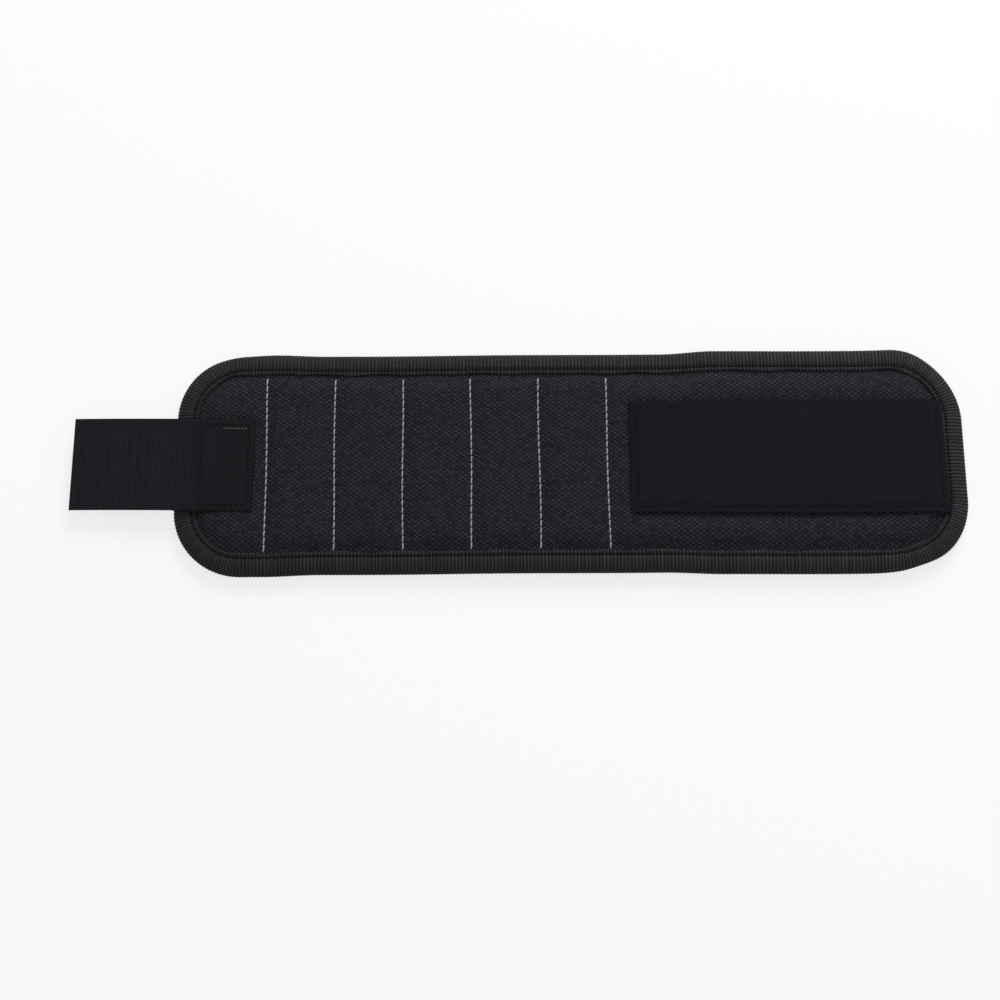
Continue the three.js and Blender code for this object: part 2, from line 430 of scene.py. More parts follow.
def buildRibs():
    form = {"yarnShare": 0.3, "fleckScale": 60, "fleckDetail": 3}
    sizes = {"Ribs": 72.0, "Yarns": 160.0}
    tree, start, end = newGroup("tapeRibs", "Cloth", sizes, ["Height", "Fleck", "Rib"])
    placeX, placeY = splitPlace(tree, start.outputs["Cloth"])
    along = calc(tree, "MULTIPLY", placeX, start.outputs["Ribs"])
    across = calc(tree, "MULTIPLY", placeY, start.outputs["Yarns"])
    rib = calc(tree, "MULTIPLY", ripple(tree, along), 1 - form["yarnShare"])
    height = spread(tree, ripple(tree, across), form["yarnShare"], rib)
    fleck = noiseAt(tree, start.outputs["Cloth"], form["fleckScale"], form["fleckDetail"], "2D")
    # each rib gets its own random brightness, a painted sheen for how it catches the light
    each = addNode(tree, "ShaderNodeTexWhiteNoise", noise_dimensions="1D")
    tree.links.new(calc(tree, "ROUND", along), each.inputs["W"])
    tree.links.new(height, end.inputs["Height"])
    tree.links.new(fleck, end.inputs["Fleck"])
    tree.links.new(each.outputs["Value"], end.inputs["Rib"])
    return tree


# painted shade and sheen: the rib crests are painted lighter and the valleys darker, and each rib's random
# brightness stands for how it catches the light
def ribShade(tree, ribs, sharp):
    uneven = {"fleck": (0.9, 0.55), "rib": (0.5, 0.75)}
    return product(tree, calc(tree, "POWER", ribs["Height"], sharp),
                   spread(tree, ribs["Fleck"], *uneven["fleck"]), spread(tree, ribs["Rib"], *uneven["rib"]))


def buildFibres():
    form = {"fineDetail": 4, "broadDetail": 2, "broadShare": 0.06}
    tree, start, end = newGroup("looseFibres", "Place", {"Size": 400.0}, ["Height", "Patchy"])
    place, size = start.outputs["Place"], start.outputs["Size"]
    broadSize = calc(tree, "MULTIPLY", size, form["broadShare"])
    tree.links.new(noiseAt(tree, place, size, form["fineDetail"]), end.inputs["Height"])
    tree.links.new(noiseAt(tree, place, broadSize, form["broadDetail"]), end.inputs["Patchy"])
    return tree


weaveGroup, ribGroup, fibreGroup = buildWeave(), buildRibs(), buildFibres()


# finishes

def coverCloth():
    look = {
        "across": 81,
        "along": 111,
        "gap": (0.001, 0.001, 0.0013),
        "yarn": (0.0226, 0.0236, 0.032),
        "relief": 0.97,
        "uneven": (1.1, 0.35),  # no two yarns are equally pale
        "lowYarn": 0.02,  # how bright the yarns are that lie across the light
        "patchy": (0.7, 0.65),
        "fibres": 900,
        "fuzz": 0.25,
        "rough": (0.2, 0.7),
        "gloss": 0.14,
        "bump": (0.9, 0.35 * mm),
    }
    material, tree, shader = newMaterial("basketWeave")
    cloth = clothPlace(tree)
    weave = placeGroup(tree, weaveGroup, Cloth=cloth, Across=look["across"], Along=look["along"])
    fibres = placeGroup(tree, fibreGroup, Place=cloth, Size=look["fibres"])
    # painted shade: the yarns' height darkens their rounded edges and the gaps between them towards the gap
    # colour, and the yarns that lie across the light are darker
    shade = product(tree, soften(tree, weave["Height"], look["relief"]),
                    spread(tree, weave["Yarn"], *look["uneven"]),
                    soften(tree, weave["Over"], 1 - look["lowYarn"]),
                    spread(tree, fibres["Patchy"], *look["patchy"]))
    paint(tree, shader, shade, look["gap"], look["yarn"])
    tree.links.new(spread(tree, fibres["Height"], *look["rough"]), shader.inputs["Roughness"])
    shader.inputs["Specular IOR Level"].default_value = look["gloss"]
    bumpTo(tree, shader, spread(tree, fibres["Height"], look["fuzz"], weave["Height"]), *look["bump"])
    return material


def bindingTape(ribsPerUnit, unitsRound, leftMiddle):
    look = {
        "yarns": 170,
        "dark": (0.0025, 0.0025, 0.0028),
        "light": (0.039, 0.039, 0.0445),
        "sharp": 1.5,
        "shadeMean": 0.93,
        "uneven": 0.15,  # painted shade: the binding is painted darker round the left end and lighter round the right end, as if lit from the right
        "rough": 0.75,
        "gloss": 0.14,
        "bump": (0.6, 0.25 * mm),
    }
    material, tree, shader = newMaterial("grosgrain")
    cloth = clothPlace(tree)
    ribs = placeGroup(tree, ribGroup, Cloth=cloth, Ribs=ribsPerUnit, Yarns=look["yarns"])
    # painted shade and light: a cosine along the outline darkens the left end and lightens the right end
    turn = spread(tree, splitPlace(tree, cloth)[0], fullTurn / unitsRound, -fullTurn * leftMiddle)
    endTone = spread(tree, calc(tree, "COSINE", turn), -look["uneven"], look["shadeMean"])
    shade = calc(tree, "MULTIPLY", ribShade(tree, ribs, look["sharp"]), endTone)
    paint(tree, shader, shade, look["dark"], look["light"])
    setFinish(shader, look["rough"], look["gloss"])
    bumpTo(tree, shader, ribs["Height"], *look["bump"])
    return material


def tabTape():
    look = {
        "ribs": 83,
        "yarns": 150,
        "dark": (0.0012, 0.0013, 0.0022),
        "light": (0.0095, 0.01, 0.0152),
        "sharp": 1.0,
        "plain": 0.42,
        "selvedge": (14.2 * mm, 15 * mm),  # past these the edge of the tape is woven plain
        "sewnLevel": 0.45,  # the sewn end is painted darker than the free end
        "darkFrom": 20 * mm,
        "darkRun": 30 * mm,
        "rough": 0.75,
        "gloss": 0.12,
        "bump": (0.6, 0.2 * mm),
    }
    material, tree, shader = newMaterial("hookTape")
    cloth = clothPlace(tree)
    ribs = placeGroup(tree, ribGroup, Cloth=cloth, Ribs=look["ribs"], Yarns=look["yarns"])
    along, across = splitPlace(tree, cloth)
    selvedge = mapRange(tree, across, *(v * uvPerMetre for v in look["selvedge"]), kind="LINEAR")
    shade = mixValues(tree, selvedge, ribShade(tree, ribs, look["sharp"]), look["plain"])
    # the tape is painted darker from the free end towards the sewn end
    darkStart = (band["left"] + look["darkFrom"]) * uvPerMetre
    endTone = mapRange(tree, along, darkStart - look["darkRun"] * uvPerMetre, darkStart, 1, look["sewnLevel"])
    paint(tree, shader, calc(tree, "MULTIPLY", shade, endTone), look["dark"], look["light"])
    setFinish(shader, look["rough"], look["gloss"])
    bumpTo(tree, shader, ribs["Height"], *look["bump"])
    return material


def loopPile():
    look = {
        "dark": (0.0054, 0.0051, 0.0075),
        "light": (0.011, 0.0104, 0.0148),
        "fibres": 260,
        "loops": 160,
        "curl": -0.8,
        "curlShade": 0.9,
        "patchy": (0.5, 0.1),
        "rough": 0.95,
        "gloss": 0.1,
        "bump": (0.6, 0.4 * mm),
    }
    material, tree, shader = newMaterial("loopPile")
    cloth = clothPlace(tree)
    fibres = placeGroup(tree, fibreGroup, Place=cloth, Size=look["fibres"])
    curl = spread(tree, cellsAt(tree, cloth, look["loops"], 1), look["curl"], fibres["Height"])
    # painted shade: each pile loop is painted lighter at its middle and darker towards its rim
    shade = spread(tree, curl, look["curlShade"], spread(tree, fibres["Patchy"], *look["patchy"]))
    paint(tree, shader, shade, look["dark"], look["light"])
    setFinish(shader, look["rough"], look["gloss"])
    bumpTo(tree, shader, curl, *look["bump"])
    return material


def spacerMesh():
    look = {
        "hole": (0.002, 0.002, 0.0022),
        "knit": (0.024, 0.024, 0.026),
        "cells": 36,
        "uneven": 0.12,
        "ring": (0.22, 0.4),
        "yarns": 160,
        "yarnHeight": 0.25,
        "tone": 0.8,
        "rough": 0.85,
        "gloss": 0.2,
        "bump": (0.8, 0.5 * mm),
    }
    material, tree, shader = newMaterial("spacerMesh")
    cloth = clothPlace(tree)
    ring = mapRange(tree, cellsAt(tree, cloth, look["cells"], look["uneven"]), *look["ring"])
    weave = placeGroup(tree, weaveGroup, Cloth=cloth, Across=look["yarns"], Along=look["yarns"])
    height = spread(tree, weave["Height"], look["yarnHeight"], ring)
    # painted shade: the holes and the yarns' edges are painted darker, towards the hole colour
    paint(tree, shader, calc(tree, "MULTIPLY", height, look["tone"]), look["hole"], look["knit"])
    setFinish(shader, look["rough"], look["gloss"])
    bumpTo(tree, shader, height, *look["bump"])
    return material


def sewingThread(name, dark, light, gloss=0.3):
    look = {"fibres": 6000, "rough": 0.6, "bump": (0.5, 0.1 * mm)}
    material, tree, shader = newMaterial(name)
    fibres = placeGroup(tree, fibreGroup, Place=objectPlace(tree), Size=look["fibres"])
    paint(tree, shader, fibres["Height"], dark, light)
    setFinish(shader, look["rough"], gloss)
    bumpTo(tree, shader, fibres["Height"], *look["bump"])
    return material


def nickelPlate():
    look = {"dark": (0.5, 0.5, 0.5), "light": (0.68, 0.67, 0.65), "grain": 900, "rough": (0.2, 0.15)}
    material, tree, shader = newMaterial("nickelPlate")
    fibres = placeGroup(tree, fibreGroup, Place=objectPlace(tree), Size=look["grain"])
    paint(tree, shader, fibres["Patchy"], look["dark"], look["light"])
    shader.inputs["Metallic"].default_value = 1
    tree.links.new(spread(tree, fibres["Height"], *look["rough"]), shader.inputs["Roughness"])
    return material


# camera first, at the photograph's angle

def placeCamera():
    shot = {
        "target": (-7.25 * mm, -15.3 * mm, 4 * mm),
        "elevation": 75.68,
        "azimuth": -0.63,
        "roll": 0.28,
        "distance": 618.9 * mm,
        "lens": 56.77,
        "sensor": 36,
    }
    e, a, r = (math.radians(shot[key]) for key in ("elevation", "azimuth", "roll"))
    back = Vector((math.sin(a) * math.cos(e), -math.cos(a) * math.cos(e), math.sin(e)))
    right = Vector((math.cos(a), math.sin(a), 0))
    up = back.cross(right)
    right, up = math.cos(r) * right + math.sin(r) * up, math.cos(r) * up - math.sin(r) * right
    clearSelection()
    bpy.ops.object.camera_add(location=Vector(shot["target"]) + shot["distance"] * back)
    camera = bpy.context.object
    camera.rotation_euler = Matrix((right, up, back)).transposed().to_euler()
    camera.data.lens = shot["lens"]
    camera.data.sensor_width = shot["sensor"]
    bpy.context.scene.camera = camera


placeCamera()
print("camera placed")

# front cover

cover = {
    "inset": 1.8 * mm,
    "border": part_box("front_cover_left_end")[0].z + 0.8 * mm,
    "crown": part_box("front_cover_row_3")[1].z,
    "thick": 0.8 * mm,
    "shoulder": 9.2 * mm,
    "shoulderRun": 5 * mm,
    "squeeze": 2.4 * mm,  # the layers are pressed together inside the folded tape
    "squeezeRun": 4 * mm,
    "valley": 1.2 * mm,
    "valleyRun": 3.4 * mm,
    "cell": 2.1 * mm,
    "skew": 0.055,  # the cloth was cut a little off its grain
    "heldEdge": 1 * mm,  # how far round the border, the stitching and the patch the cloth can't rise
    "heldLine": 1.2 * mm,
    "heldPatch": 1.5 * mm,
}
puff = {
    "scale": 20,  # cloth settles better at a larger size
    "steps": 20,
    "quality": 6,
    "mass": 0.08,
    "stretch": 12,
    "shear": 6,
    "bending": 0.4,
    "slack": 0.006,
    "pressure": 9.0,
    "cap": 0.75 * mm,
}
patch = {
    "low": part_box("loop_patch_wing_1")[0],
    "high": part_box("loop_patch_right_end")[1],
    "spans": range(6, lastSpan + 1),
    "stretch": 1.0165,  # pulled a little out of shape as it was sewn on
    "shift": 1.15 * mm,
    "slant": 0.0028,
    "reach": 0.9 * mm,
    "lean": 0.027,
    "drape": 0.75 * mm,  # how far its right end lies down towards the border
    "cell": 0.7 * mm,
    "pile": 0.09 * mm,
    "pileSeed": 4,
    "edgeDrop": 0.45 * mm,
    "edgeRun": 3.2 * mm,
    "base": 0.5 * mm,
    "sewn": 2.4 * mm,
    "groove": 0.25 * mm,
    "grooveRun": 0.7 * mm,
    "stitchDown": 0.42 * mm,
    "stitchPitch": 3 * mm,
    "stitchShare": 0.8,
    "stitchThick": 0.45 * mm,
    "leastSide": 10 * mm,
}
tabSewn = {"low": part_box("hook_tab_sewn_end")[0], "high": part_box("hook_tab_sewn_end")[1]}


def clothColumns(fromX, toX, cell):
    stops = [fromX] + rowLines + [toX]
    runs = [np.linspace(a, b, round((b - a) / cell) + 1)[:-1] for a, b in zip(stops, stops[1:])]
    return np.concatenate(runs + [[toX]])


def clothGrid(name, inset, cell):
    columns = clothColumns(band["left"] + inset, band["right"] - inset, cell)
    piece, s, t = gridPiece(name, len(columns) - 1, round(2 * band["half"] / cell))
    x = columns[np.round(s * (len(columns) - 1)).astype(int)]
    return piece, x, (2 * t - 1) * halfAt(x, inset)


def nearestLine(x):
    return np.min(np.abs(np.asarray(x)[:, None] - np.array(rowLines)[None, :]), axis=1)


def edgeSqueeze(x, y):
    return cover["squeeze"] * np.clip(1 - edgeDepth(x, y) / cover["squeezeRun"], 0, 1) ** 2


def crownRise(x, y):
    return ease((edgeDepth(x, y) - cover["shoulder"]) / cover["shoulderRun"])


def coverHeight(x, y):
    dip = np.exp(-nearestLine(x) / cover["valleyRun"])
    swell = crownRise(x, y) * (cover["crown"] - cover["border"] - cover["valley"] * dip)
    return cover["border"] + swell - edgeSqueeze(x, y)


def inPatch(x, y, grow):
    return (x > patch["low"].x - grow) & (x < patch["high"].x + grow) & (np.abs(y) < patch["high"].y + grow)


def simulateCover(piece, co, held):
    setPoints(piece, co * puff["scale"])
    group = piece.vertex_groups.new(name="sewn")
    group.add([int(i) for i in np.nonzero(held)[0]], 1, "REPLACE")
    pick(piece)
    modifier = piece.modifiers.new("Cloth", "CLOTH")
    cloth = modifier.settings
    cloth.quality = puff["quality"]
    cloth.mass = puff["mass"]
    cloth.tension_stiffness = cloth.compression_stiffness = puff["stretch"]
    cloth.shear_stiffness = puff["shear"]
    cloth.bending_stiffness = puff["bending"]
    cloth.vertex_group_mass = "sewn"
    cloth.shrink_min = -puff["slack"]
    cloth.use_pressure = True
    cloth.uniform_pressure_force = puff["pressure"]
    cloth.effector_weights.gravity = 0
    for step in range(puff["steps"]):
        bpy.context.scene.frame_set(step + 1)
    bpy.ops.object.modifier_apply(modifier=modifier.name)
    moved = pointsOf(piece) / puff["scale"] - co
    bpy.context.scene.frame_set(1)
    reach = np.linalg.norm(moved, axis=1)
    print("cloth moved at most %.2f mm, mean %.3f mm" % (reach.max() / mm, reach.mean() / mm))
    return co + moved * np.minimum(1, puff["cap"] / np.maximum(reach, 1e-9))[:, None]


def makeCover():
    piece, x, y = clothGrid("coverSheet", cover["inset"], cover["cell"])
    setUv(piece, np.stack([x - cover["skew"] * y, y], 1))
    co = np.stack([x, y, coverHeight(x, y)], 1)
    held = edgeDepth(x, y) < cover["shoulder"] + cover["heldEdge"]
    held |= nearestLine(x) < cover["heldLine"]
    held |= inPatch(x, y, cover["heldPatch"])
    held |= (x < tabSewn["high"].x) & (np.abs(y) < tabSewn["high"].y)
    co = simulateCover(piece, co, held)
    setPoints(piece, settle(co))
    applyModifier(piece, "SUBSURF", levels=1, render_levels=1, boundary_smooth="PRESERVE_CORNERS")
    applyModifier(piece, "SOLIDIFY", thickness=cover["thick"], offset=-1)
    made = cutLayer(piece, "cover", coverMaterial, "cloth",
                    lambda seg: ["front_cover_" + seg])


coverMaterial = coverCloth()
makeCover()
print("front cover sewn")

# foam and mesh lining

lining = {
    "inset": 1.8 * mm,
    "tuck": 1.7 * mm,
    "groove": 1.1 * mm,
    "grooveRun": 2.6 * mm,
    "cell": 2.1 * mm,
    "gap": 0.2 * mm,
    "least": 0.6 * mm,
    "seatFloor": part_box("magnet_row_1_middle")[0].z - 0.3 * mm,
    "seatRadius": 9.4 * mm,
    "blank": 1 * mm,  # even thickness, before the foam's top is shaped
    "fill": 0.35,
}
magnetSpots = [middleOf(name) for name in frame["nodes"] if name.startswith("magnet_")]


def makeLining():
    piece, x, y = clothGrid("liningSheet", lining["inset"], lining["cell"])
    setUv(piece, np.stack([x, y], 1))
    rise = crownRise(x, y)
    drawnIn = lining["groove"] * np.exp(-(nearestLine(x) / lining["grooveRun"]) ** 2)
    under = lining["tuck"] * (1 - rise) + rise * drawnIn
    setPoints(piece, np.stack([x, y, under + edgeSqueeze(x, y)], 1))
    applyModifier(piece, "SUBSURF", levels=1, render_levels=1, boundary_smooth="PRESERVE_CORNERS")
    x, y, bottom = pointsOf(piece).T
    applyModifier(piece, "SOLIDIFY", thickness=lining["blank"], offset=1)
    top = coverHeight(x, y) - cover["thick"] - lining["gap"]
    for spot in magnetSpots:
        inSeat = np.hypot(x - spot[0], y - spot[1]) < lining["seatRadius"]
        top = np.where(inSeat, lining["seatFloor"], top)
    top = np.maximum(top, bottom + lining["least"])
    x, y, top, bottom = (np.tile(v, 2) for v in (x, y, top, bottom))
    raised = pointsOf(piece)[:, 2] > bottom + lining["blank"] / 2  # which wall the modifier lifted
    setPoints(piece, settle(np.stack([x, y, np.where(raised, top, bottom)], 1)))
    made = cutLayer(piece, "lining", liningMaterial, "cloth",
                    lambda seg: ["foam_lining_" + seg])


liningMaterial = spacerMesh()
makeLining()
print("lining fitted")

# edge binding

binding = {
    "top": [(9.1, 5.75), (8.98, 6.1), (8.65, 6.31), (8.2, 6.37), (7.75, 6.3), (7.45, 5.95), (6.85, 5.95),
            (6.55, 6.3), (5.6, 6.4), (4.3, 6.3), (2.9, 5.95), (1.7, 5.45), (0.8, 4.8), (0.2, 4.1)],
    "middle": 3.5,  # the outermost point's height in mm, where the section is mirrored
    "ribPitch": 1.4 * mm,
    "ribHeight": 0.1 * mm,
    "ribsPerUnit": 71.4,  # ribs in one UV unit
    "samples": 4,
    "thick": 0.5 * mm,
    "wander": 0.25 * mm,  # the inner lip isn't quite straight
    "wanderWaves": [(23, 0), (37, 1)],
    "wanderFrom": 7.6 * mm,
    "wanderRun": 2 * mm,
    "stitchIn": 7.15 * mm,
}


def outlineRuns():
    left, right, half = band["left"], band["right"], band["half"]
    rl, rr = band["leftRadius"], band["rightRadius"]
    arcL, arcR = math.pi / 2 * rl, math.pi / 2 * rr
    long = right - left - rl - rr
    return [("line", long, (left + rl, half), (1, 0)),
            ("arc", arcR, (right - rr, half - rr), (90, rr)),
            ("line", 2 * half - 2 * rr, (right, half - rr), (0, -1)),
            ("arc", arcR, (right - rr, rr - half), (0, rr)),
            ("line", long, (right - rr, -half), (-1, 0)),
            ("arc", arcL, (left + rl, rl - half), (-90, rl)),
            ("line", 2 * half - 2 * rl, (left, rl - half), (0, 1)),
            ("arc", arcL, (left + rl, half - rl), (180, rl))]


edgeRuns = outlineRuns()
edgeLength = sum(run[1] for run in edgeRuns)
bindingRibs = round(edgeLength / binding["ribPitch"])


def alongEdge(s):
    s = np.mod(s, edgeLength)
    place, inward = np.zeros((len(s), 2)), np.zeros((len(s), 2))
    at = 0
    for kind, length, origin, aim in edgeRuns:
        here = (s >= at) & (s <= at + length)
        run = s[here] - at
        if kind == "line":
            place[here] = np.array(origin) + run[:, None] * np.array(aim)
            inward[here] = (aim[1], -aim[0])
        else:
            angle = math.radians(aim[0]) - run / aim[1]
            out = np.stack([np.cos(angle), np.sin(angle)], 1)
            place[here] = np.array(origin) + aim[1] * out
            inward[here] = -out
        at += length
    return place, inward


def bindingNodes(seg):
    if seg.endswith("_end"):
        return ["edge_binding_" + seg]
    return ["edge_binding_upper_" + seg, "edge_binding_lower_" + seg]


def makeBinding():
    upper, middle = binding["top"], binding["middle"]
    section = np.array(upper + [(0, middle)] + [(d, 2 * middle - z) for d, z in reversed(upper)]) * mm
    piece, s, t = gridPiece("bindingTape", bindingRibs * binding["samples"], len(section) - 1)
    row = np.round(t * (len(section) - 1)).astype(int)
    run = np.concatenate([[0], np.cumsum(np.hypot(*np.diff(section, axis=0).T))])
    setUv(piece, np.stack([s * bindingRibs / binding["ribsPerUnit"] / uvPerMetre, run[row]], 1))
    slope = np.gradient(section, axis=0)
    outward = np.stack([slope[:, 1], -slope[:, 0]], 1) / np.hypot(slope[:, 0], slope[:, 1])[:, None]
    place, inward = alongEdge(s * edgeLength)
    lift = binding["ribHeight"] * (np.cos(fullTurn * bindingRibs * s) - 1)
    waves = sum(np.sin(rate * fullTurn * s + start) for rate, start in binding["wanderWaves"])
    onLip = ease((section[row, 0] - binding["wanderFrom"]) / binding["wanderRun"])
    depth = section[row, 0] + lift * outward[row, 0] + binding["wander"] * waves * onLip
    z = section[row, 1] + lift * outward[row, 1]
    setPoints(piece, settle(np.concatenate([place + inward * depth[:, None], z[:, None]], 1)))
    editAll(piece)
    bpy.ops.mesh.remove_doubles(threshold=1e-6)
    faceOutward(piece)
    topFace = max(piece.data.polygons, key=lambda f: f.center.z)
    applyModifier(piece, "SOLIDIFY", thickness=binding["thick"], offset=-1 if topFace.normal.z > 0 else 1)
    made = cutLayer(piece, "binding", bindingMaterial, "tape", bindingNodes)
    spanOf = np.searchsorted(cuts, alongEdge(np.arange(0, edgeLength, mm))[0][:, 0])


leftMiddle = 1 - sum(run[1] for run in edgeRuns[5:]) / 2 / edgeLength
bindingMaterial = bindingTape(binding["ribsPerUnit"], bindingRibs / binding["ribsPerUnit"], leftMiddle)
makeBinding()
print("edge bound")

# sewing threads

thread = {
    "sides": 6,
    "samples": 60,  # points on one straight run
    "rings": [(0.0, -0.4, 0.75), (0.14, 0.3, 1.0), (0.5, 0.5, 1.05), (0.86, 0.3, 1.0), (1.0, -0.4, 0.75)],
}


def modelStitch():
    clearSelection()
    bpy.ops.mesh.primitive_circle_add(vertices=thread["sides"], radius=1, fill_type="NGON")
    piece = nameIt(bpy.context.object, "oneStitch")
    editAll(piece)
    for _ in thread["rings"][1:]:
        bpy.ops.mesh.extrude_region_move(TRANSFORM_OT_translate={"value": (0, 0, 1)})
    faceOutward(piece)
    co = pointsOf(piece)
    faces = [list(f.vertices) for f in piece.data.polygons]
    bpy.data.objects.remove(piece)
    rings = np.array(thread["rings"])[np.round(co[:, 2]).astype(int)]
    return rings, co[:, :2] * rings[:, 2:3], faces


stitchRings, stitchSection, stitchFaces = modelStitch()


def sew(name, starts, ends, thick, up):
    starts, ends, up = np.asarray(starts), np.asarray(ends), np.asarray(up)
    if up.ndim == 1:
        up = np.repeat(up[None, :], len(starts), 0)
    along = ends - starts
    side = np.cross(up, along)
    side /= np.linalg.norm(side, axis=1)[:, None]
    r = thick / 2
    co = (starts[:, None, :] + along[:, None, :] * stitchRings[None, :, 0:1]
          + up[:, None, :] * r * (stitchRings[None, :, 1:2] + stitchSection[None, :, 1:2])
          + side[:, None, :] * r * stitchSection[None, :, 0:1])
    piece = meshPiece(name, co.reshape(-1, 3), repeatFaces(stitchFaces, len(stitchRings), len(starts)))
    faceOutward(piece)
    return piece


def dashes(points, pitch, share):
    points = np.asarray(points, dtype=float)
    run = np.concatenate([[0], np.cumsum(np.linalg.norm(np.diff(points, axis=0), axis=1))])
    count = max(1, round(run[-1] / pitch))
    at = (np.arange(count) + 0.5) * run[-1] / count
    reach = share / 2 * run[-1] / count

    def point(s):
        return np.stack([np.interp(s, run, points[:, a]) for a in range(3)], 1)
    return point(at - reach), point(at + reach)


def dashesRound(paths, pitch, share):
    rows = [dashes(path, pitch, share) for path in paths]
    return [np.concatenate(part) for part in zip(*rows)]


rowStitch = {
    "pitch": 2.9 * mm,
    "share": 0.97,
    "thick": 0.58 * mm,
    "slant": 0.12 * mm,
    "topEnd": 10.8 * mm,
    "lowEnd": 9.5 * mm,
    "lean": 0.007,
    "wander": 0.18 * mm,
    "wanderRate": 90,
    "wanderStep": 1.9,  # each row wanders in its own way
    "above": 0.14 * mm,
    "below": 0.05 * mm,
    "samples": 80,
    "short": 6,  # samples that the row on the back is shorter at each end
}


def sewRows():
    for k, line in enumerate(rowLines, 1):
        y = np.linspace(rowStitch["lowEnd"] - band["half"], band["half"] - rowStitch["topEnd"],
                        rowStitch["samples"])
        sway = np.sin(rowStitch["wanderRate"] * y + rowStitch["wanderStep"] * k)
        x = line - rowStitch["lean"] * y + rowStitch["wander"] * sway
        z = coverHeight(np.full_like(y, line), y) + rowStitch["above"]
        front = settle(np.stack([x, y, z], 1))
        back = settle(np.stack([x, y, np.full_like(y, lining["groove"] - rowStitch["below"])], 1))
        back = back[rowStitch["short"]:-rowStitch["short"]]
        starts, ends = dashes(front, rowStitch["pitch"], rowStitch["share"])
        starts[:, 0] -= rowStitch["slant"]
        ends[:, 0] += rowStitch["slant"]
        lowStarts, lowEnds = dashes(back, rowStitch["pitch"], rowStitch["share"])
        up = np.concatenate([np.tile((0, 0, 1), (len(starts), 1)), np.tile((0, 0, -1), (len(lowStarts), 1))])
        starts, ends = np.concatenate([starts, lowStarts]), np.concatenate([ends, lowEnds])
        piece = sew("row_stitching_%d" % k, starts, ends, rowStitch["thick"], up)
        dress(piece, paleThread, "thread")
        hang(piece, k)
        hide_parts("stitch_line_%d" % k)


paleThread = sewingThread("paleThread", (0.228, 0.224, 0.212), (0.42, 0.413, 0.395))
blackThread = sewingThread("blackThread", (0.001, 0.001, 0.001), (0.004, 0.004, 0.0045), 0.1)
pileThread = sewingThread("pileThread", (0.003, 0.003, 0.004), (0.006, 0.006, 0.0075), 0.05)
# a pale grey thread that paints a highlight on the tab's stitching
highlightThread = sewingThread("highlightThread", (0.05, 0.05, 0.05), (0.1, 0.1, 0.1))
sewRows()

edgeStitch = {
    "pitch": 3.1 * mm,
    "share": 0.86,
    "thick": 0.5 * mm,
    "top": 5.97 * mm,
    "under": 1.03 * mm,
    "samples": 900,
}


def sewBinding():
    s = np.linspace(0, edgeLength, edgeStitch["samples"])
    place, inward = alongEdge(s)
    spots = place + inward * binding["stitchIn"]
    rows = []
    for z, up in ((edgeStitch["top"], 1), (edgeStitch["under"], -1)):
        path = settle(np.concatenate([spots, np.full((len(s), 1), z)], 1))
        starts, ends = dashes(path, edgeStitch["pitch"], edgeStitch["share"])
        rows.append((starts, ends, np.tile((0, 0, up), (len(starts), 1))))
    starts, ends, up = (np.concatenate(part) for part in zip(*rows))
    piece = sew("edgeThread", starts, ends, edgeStitch["thick"], up)
    cutLayer(piece, "binding_thread", blackThread, "thread", lambda seg: [])


sewBinding()
print("rows and binding sewn")

# loop patch

def sewnOn(co):
    co = np.array(co, dtype=float)
    run = co[:, 0] - patch["low"].x
    share = run / (patch["high"].x - patch["low"].x)
    co[:, 0] += share * (patch["reach"] - patch["lean"] * co[:, 1])
    co[:, 1] = co[:, 1] * patch["stretch"] + patch["shift"] - patch["slant"] * run
    fall = cover["crown"] - coverHeight(co[:, 0], 0 * run)
    co[:, 2] -= np.minimum(np.where(share > 0.5, fall, 0), patch["drape"])
    return co


def makePatch():
    low, high = patch["low"], patch["high"]
    length, width = high.x - low.x, 2 * high.y
    piece, s, t = gridPiece("patchSheet", round(length / patch["cell"]), round(width / patch["cell"]))
    x, y = low.x + s * length, (2 * t - 1) * high.y
    setUv(piece, np.stack([x, y], 1))
    depth = np.minimum(np.minimum(x - low.x, high.x - x), high.y - np.abs(y))
    swell = ease(depth / patch["edgeRun"])
    groove = patch["groove"] * np.exp(-((depth - patch["sewn"]) / patch["grooveRun"]) ** 2)
    rng = np.random.default_rng(patch["pileSeed"])
    pile = patch["pile"] * (rng.random(len(x)) - 1) * swell
    setPoints(piece, np.stack([x, y, high.z - patch["edgeDrop"] * (1 - swell) - groove + pile], 1))
    top = len(piece.data.vertices)
    applyModifier(piece, "SOLIDIFY", thickness=patch["base"], offset=-1)
    co = pointsOf(piece)
    co[top:, :2] = co[:top, :2]
    co[top:, 2] = low.z
    setPoints(piece, settle(sewnOn(co)))
    made = cutLayer(piece, "pile_patch", loopMaterial, "tape", lambda seg: ["loop_patch_" + seg],
                    patch["spans"])


def sewPatch():
    inX = (patch["low"].x + patch["sewn"], patch["high"].x - patch["sewn"])
    inY = patch["high"].y - patch["sewn"]
    z = patch["high"].z - patch["stitchDown"]
    corners = [(inX[0], -inY, z), (inX[1], -inY, z), (inX[1], inY, z), (inX[0], inY, z), (inX[0], -inY, z)]
    paths = [settle(sewnOn(np.linspace(a, b, thread["samples"]))) for a, b in zip(corners, corners[1:])]
    starts, ends = dashesRound(paths, patch["stitchPitch"], patch["stitchShare"])
    piece = sew("patchThread", starts, ends, patch["stitchThick"], (0, 0, 1))
    cutLayer(piece, "patch_thread", pileThread, "thread", lambda seg: [], patch["spans"])


loopMaterial = loopPile()
makePatch()
sewPatch()
print("loop patch laid")

# hook tab

